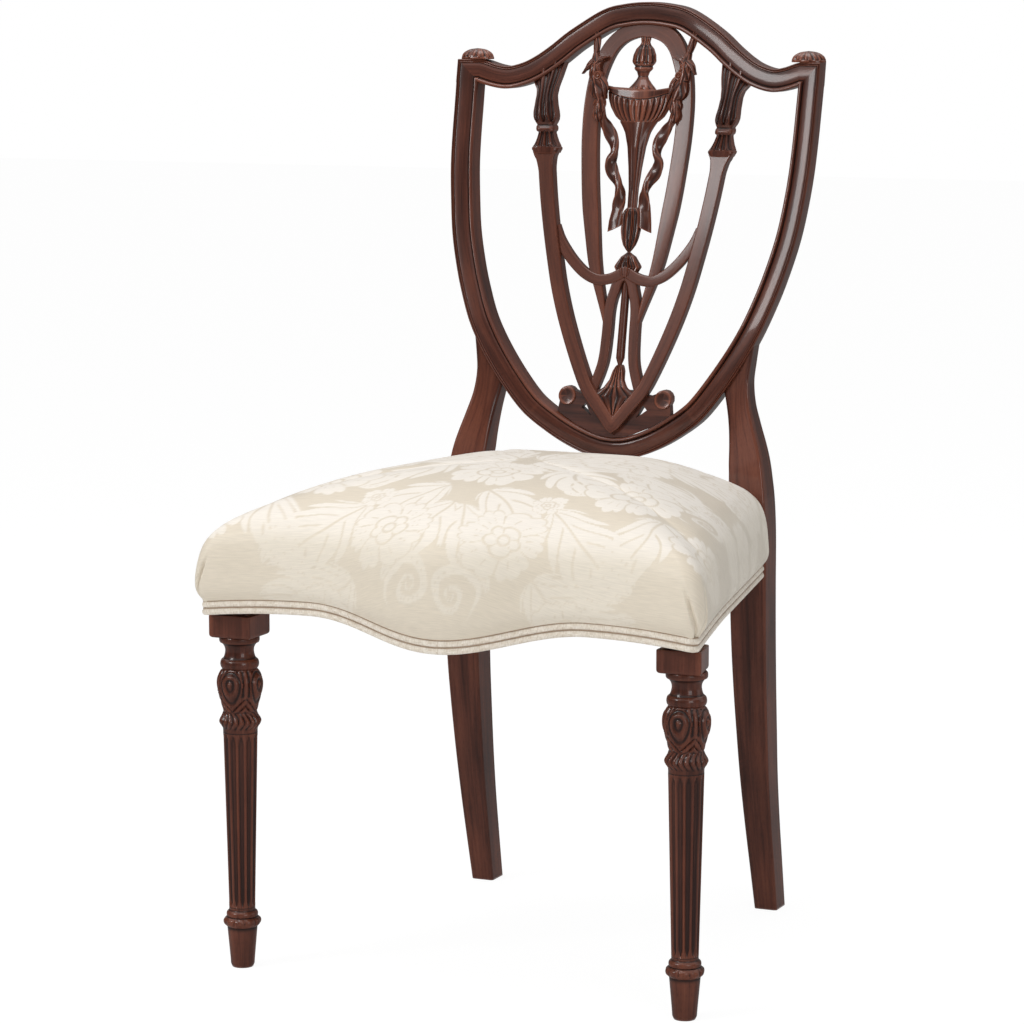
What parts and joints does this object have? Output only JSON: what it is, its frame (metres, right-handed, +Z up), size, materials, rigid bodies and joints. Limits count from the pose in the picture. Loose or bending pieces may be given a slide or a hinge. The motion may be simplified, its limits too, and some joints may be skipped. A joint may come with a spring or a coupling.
{
  "type": "shield back side chair",
  "caption": "Upholstered side chair with a moulded shield back, carved urn splat, fluted front legs and sabre rear legs",
  "frame": {"origin": "on the floor, under the middle of the chair's outline", "axes": "+X to the right as the chair is seen from its front, +Y to its back, +Z up"},
  "size_m": [0.5374, 0.5706, 0.9595],
  "materials": {
    "mahogany": "polished red brown",
    "carved_mahogany": "polished, darker in the carving",
    "beech": "bare, hidden",
    "damask": "cream figured damask",
    "welt_cloth": "plain off-white",
    "cambric": "black dust cloth",
    "steel": "plain screws"
  },
  "bodies": {
    "root": {"back_seat_rail": "beech", "back_welt_lower": "welt_cloth", "back_welt_upper": "welt_cloth", "bellflower_drop": "carved_mahogany", "centre_rod": "mahogany", "corner_screw_1_left": "steel", "corner_screw_1_right": "steel", "corner_screw_2_left": "steel", "corner_screw_2_right": "steel", "corner_screw_3_left": "steel", "corner_screw_3_right": "steel", "corner_screw_4_left": "steel", "corner_screw_4_right": "steel", "crest_dowel_left": "beech", "crest_dowel_right": "beech", "crest_rail": "mahogany", "dust_cover": "cambric", "ear_rosette_left": "carved_mahogany", "ear_rosette_right": "carved_mahogany", "fan_leaf": "carved_mahogany", "festoon_left": "mahogany", "festoon_right": "mahogany", "front_corner_block_left": "beech", "front_corner_block_right": "beech", "front_leg_left": "mahogany", "front_leg_right": "mahogany", "front_seat_rail": "beech", "hoop": "mahogany", "leaf_bell": "carved_mahogany", "leaf_bracket_left": "carved_mahogany", "leaf_bracket_right": "carved_mahogany", "lyre_rib_left": "mahogany", "lyre_rib_right": "mahogany", "outer_rib_left": "mahogany", "outer_rib_right": "mahogany", "rear_corner_block_left": "beech", "rear_corner_block_right": "beech", "rear_leg_dowel_left": "beech", "rear_leg_dowel_right": "beech", "rear_leg_left": "mahogany", "rear_leg_right": "mahogany", "ribbon_left": "carved_mahogany", "ribbon_right": "carved_mahogany", "seat_board": "beech", "seat_pad": "damask", "shield_bottom_rail": "mahogany", "shield_foot_dowel_left": "beech", "shield_foot_dowel_right": "beech", "shield_stile_left": "mahogany", "shield_stile_right": "mahogany", "side_seat_rail_left": "beech", "side_seat_rail_right": "beech", "splat_shoe": "mahogany", "urn_bowl": "carved_mahogany", "urn_lid": "carved_mahogany", "urn_stem": "mahogany", "welt_lower": "welt_cloth", "welt_upper": "welt_cloth"}
  },
  "joints": []
}
